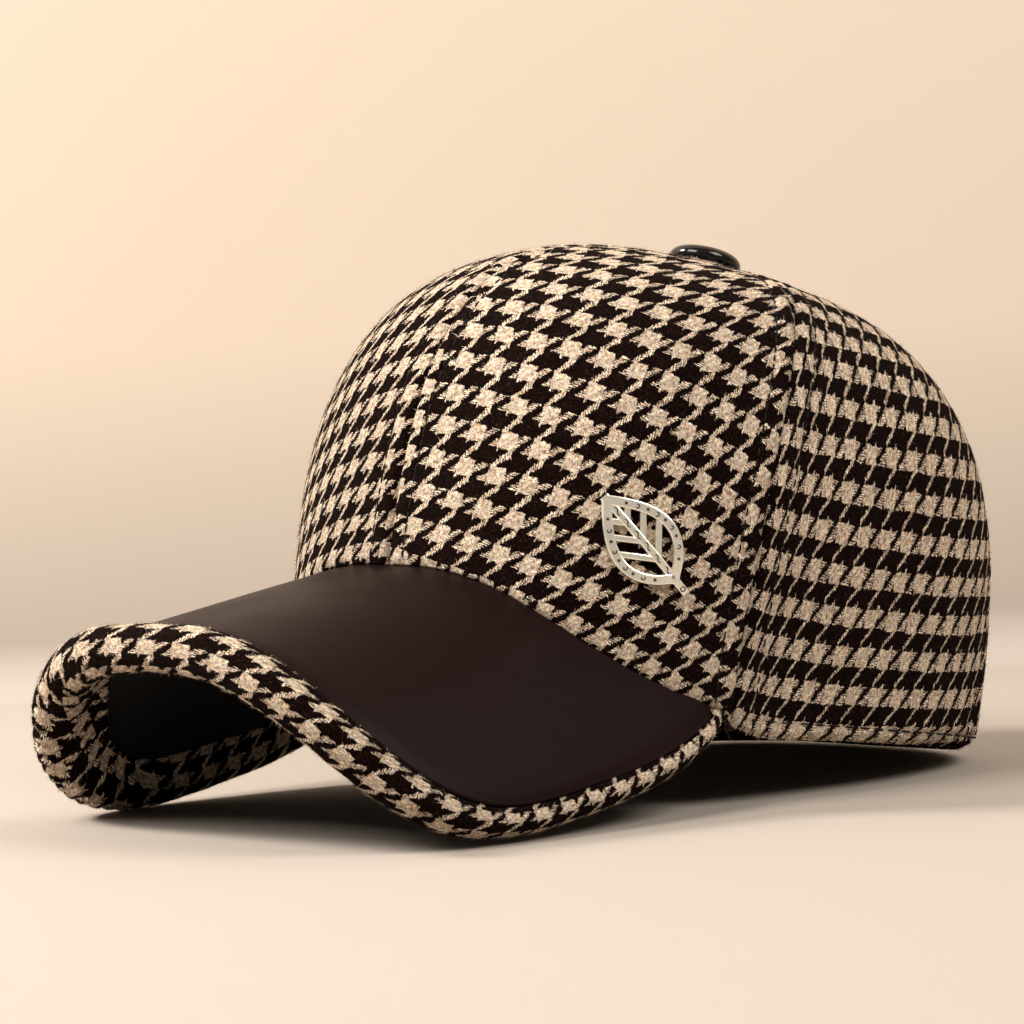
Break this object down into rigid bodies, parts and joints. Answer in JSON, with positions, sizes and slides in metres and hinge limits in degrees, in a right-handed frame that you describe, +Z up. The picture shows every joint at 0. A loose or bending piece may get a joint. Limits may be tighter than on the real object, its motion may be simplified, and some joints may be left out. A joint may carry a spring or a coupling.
{
  "type": "houndstooth baseball cap with a leather visor",
  "caption": "Six-panel woolen baseball cap with a curved leather visor, a padded cloth rim, a top button and a small leaf pin.",
  "frame": {"origin": "middle of the bottom of the cap's box, on the floor that it rests on", "axes": "front (the visor) towards -Y, the wearer's left towards +X, up is +Z"},
  "size_m": [0.1708, 0.2772, 0.1484],
  "materials": {
    "wool_cloth": "woolly houndstooth weave, dark brown and beige",
    "rim_cloth": "woolly houndstooth weave, padded",
    "visor_leather": "satin, very dark brown",
    "black_cloth": "matt black",
    "button_gloss": "glossy black",
    "pale_gold": "polished pale gold"
  },
  "bodies": {
    "root": {"front_left_panel": "wool_cloth", "front_right_panel": "wool_cloth", "side_left_panel": "wool_cloth", "side_right_panel": "wool_cloth", "back_left_panel": "wool_cloth", "back_right_panel": "wool_cloth", "visor_top": "visor_leather", "visor_underside": "black_cloth", "visor_rim": "rim_cloth", "top_button": "button_gloss", "leaf_pin": "pale_gold"}
  },
  "joints": []
}
